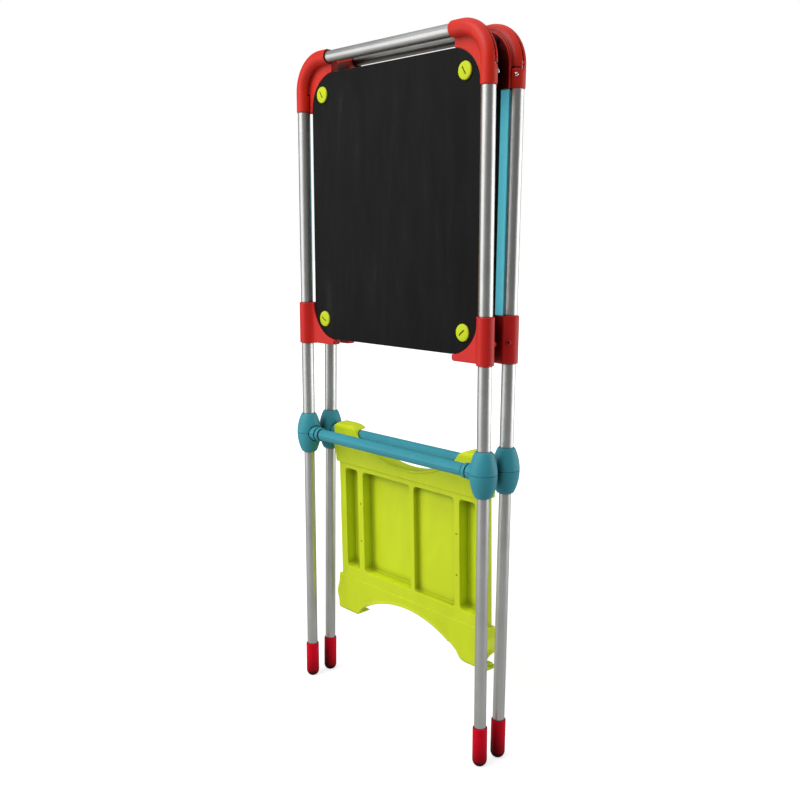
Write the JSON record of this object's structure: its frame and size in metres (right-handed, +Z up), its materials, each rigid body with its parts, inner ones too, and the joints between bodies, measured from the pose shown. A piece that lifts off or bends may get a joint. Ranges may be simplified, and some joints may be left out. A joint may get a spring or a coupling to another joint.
{
  "type": "kids easel",
  "caption": "Two-sided folding children's easel: tube frames hinged at the top, round-cornered drawing boards, hanging clip-on tool tray",
  "frame": {"origin": "centre of the footprint on the floor, with the easel folded and standing on its four feet", "axes": "+X to the right, -Y towards the front board, +Z up"},
  "size_m": [0.494, 0.0966, 1.164],
  "materials": {
    "silver_tube": "satin silver tube",
    "bright_steel": "bright plated steel",
    "dark_screw": "blackened screw, sunk in its boss",
    "grey_steel": "grey coated steel",
    "red_corner": "moulded, soft gloss",
    "red_bracket": "moulded, soft gloss",
    "crimson_foot": "moulded, soft gloss",
    "teal": "moulded, soft gloss",
    "lime_tray": "moulded, soft gloss",
    "lime_knob": "moulded, soft gloss",
    "chalk_board": "fibreboard, matt black chalk paint on the drawing face",
    "white_board": "fibreboard, smooth white drawing face, dark inner face",
    "pale_blue": "moulded strip, soft sheen"
  },
  "bodies": {
    "front_frame": {"front_top_rail": "silver_tube", "front_corner_shell_left": "red_corner", "front_corner_shell_right": "red_corner", "front_corner_back_left": "red_corner", "front_corner_back_right": "red_corner", "front_upper_leg_left": "silver_tube", "front_upper_leg_right": "silver_tube", "front_board": "chalk_board", "front_board_knobs": "lime_knob", "front_bracket_left": "red_bracket", "front_bracket_right": "red_bracket", "front_barrel_upper_left": "teal", "front_barrel_upper_right": "teal", "front_barrel_lower_left": "teal", "front_barrel_lower_right": "teal", "front_cross_rail_core": "silver_tube", "front_cross_rail_cover": "teal", "front_rail_collars": "teal", "front_lower_leg_left": "silver_tube", "front_lower_leg_right": "silver_tube", "front_foot_left": "crimson_foot", "front_foot_right": "crimson_foot", "front_corner_screws": "bright_steel", "front_bracket_screws": "dark_screw", "front_hinge_left": "grey_steel", "front_hinge_right": "grey_steel", "hinge_pins": "bright_steel"},
    "rear_frame": {"rear_top_rail": "silver_tube", "rear_corner_shell_left": "red_corner", "rear_corner_shell_right": "red_corner", "rear_corner_back_left": "red_corner", "rear_corner_back_right": "red_corner", "rear_upper_leg_left": "silver_tube", "rear_upper_leg_right": "silver_tube", "rear_board": "white_board", "rear_board_knobs": "lime_knob", "rear_bracket_left": "red_bracket", "rear_bracket_right": "red_bracket", "rear_barrel_upper_left": "teal", "rear_barrel_upper_right": "teal", "rear_barrel_lower_left": "teal", "rear_barrel_lower_right": "teal", "rear_cross_rail_core": "silver_tube", "rear_cross_rail_cover": "teal", "rear_rail_collars": "teal", "rear_lower_leg_left": "silver_tube", "rear_lower_leg_right": "silver_tube", "rear_foot_left": "crimson_foot", "rear_foot_right": "crimson_foot", "rear_corner_screws": "bright_steel", "rear_bracket_screws": "dark_screw", "rear_hinge_left": "grey_steel", "rear_hinge_right": "grey_steel", "rear_side_strip_left": "pale_blue", "rear_side_strip_right": "pale_blue"},
    "tray": {"tray": "lime_tray"}
  },
  "joints": [
    {"name": "frame_fold", "type": "hinge", "parent": "front_frame", "child": "rear_frame", "pos_m": [0, 0, 1.12522], "axis": [1, 0, 0], "range_deg": [0, 25.3]},
    {"name": "tray_swing", "type": "hinge", "parent": "rear_frame", "child": "tray", "pos_m": [0, 0.02544, 0.48398], "axis": [1, 0, 0], "range_deg": [-98.7, 0]}
  ],
  "couplings": [
    {"joint": "tray_swing", "follows": "frame_fold", "ratio": -3.9}
  ]
}
